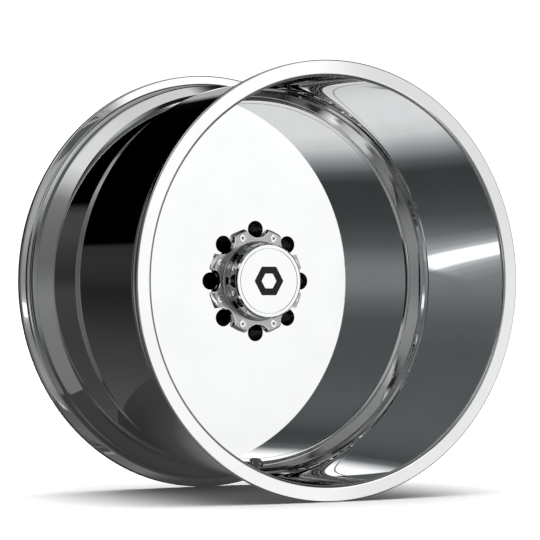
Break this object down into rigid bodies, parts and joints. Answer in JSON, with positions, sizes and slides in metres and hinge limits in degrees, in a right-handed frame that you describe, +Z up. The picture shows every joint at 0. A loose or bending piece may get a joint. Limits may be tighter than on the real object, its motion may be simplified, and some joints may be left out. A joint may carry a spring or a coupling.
{
  "type": "wheel rim",
  "caption": "Deep-dish forged truck wheel with a flat polished centre, a stepped retaining ring, a drop-well barrel, a bolt-on hub cover with an inlaid plate, and a clamp-in tyre valve.",
  "frame": {"origin": "on the axle, half way across the rim between its two flange faces", "axes": "+Y along the axle towards the vehicle, so the dished side faces -Y; +Z up with the valve at the bottom; +X to the right when looking at the dished side"},
  "size_m": [0.6959, 0.4276, 0.696],
  "materials": {
    "polished_alloy": "mirror polished forging",
    "satin_alloy": "fine satin, machined",
    "weld_alloy": "rippled weld bead",
    "bright_steel": "bright plated",
    "zinc_steel": "zinc plated",
    "dark_enamel": "gloss enamel",
    "plated_brass": "chrome plated brass",
    "bare_brass": "bare, turned",
    "black_rubber": "matte moulded",
    "white_ptfe": "matte"
  },
  "bodies": {
    "wheel": {"barrel": "polished_alloy", "centre_disc": "polished_alloy", "centre_weld": "weld_alloy", "cap_base": "satin_alloy", "cap_screws": "bright_steel", "cap_puck": "polished_alloy", "cap_seal_ring": "black_rubber", "puck_screws": "zinc_steel", "emblem_plate": "polished_alloy", "emblem_mark": "dark_enamel", "valve_body": "plated_brass", "valve_grommet": "black_rubber", "valve_washer": "plated_brass", "valve_nut": "plated_brass", "valve_core_body": "bare_brass", "valve_core_seal": "white_ptfe", "valve_spring": "zinc_steel"},
    "valve_pin_set": {"valve_pin": "bare_brass", "valve_pin_seal": "black_rubber"},
    "valve_cap_lift": {"valve_cap_seal": "black_rubber"},
    "valve_cap_turn": {"valve_cap": "plated_brass"}
  },
  "joints": [
    {"name": "valve_pin_press", "type": "slide", "parent": "wheel", "child": "valve_pin_set", "axis": [0, 0.9063, -0.4226], "range_m": [0, 0.0012], "stiffness_N_per_m": 150, "springref_m": -0.003, "deforming": ["valve_spring"]},
    {"name": "valve_cap_lift", "type": "slide", "parent": "wheel", "child": "valve_cap_lift", "axis": [0, -0.9063, 0.4226], "range_m": [0, 0.00317]},
    {"name": "valve_cap_turn", "type": "hinge", "parent": "valve_cap_lift", "child": "valve_cap_turn", "pos_m": [0, 0.03625, -0.302], "axis": [0, -0.9063, 0.4226], "range_deg": [0, 1440]}
  ],
  "couplings": [
    {"joint": "valve_cap_turn", "follows": "valve_cap_lift", "rad_per_m": 7915.8}
  ]
}
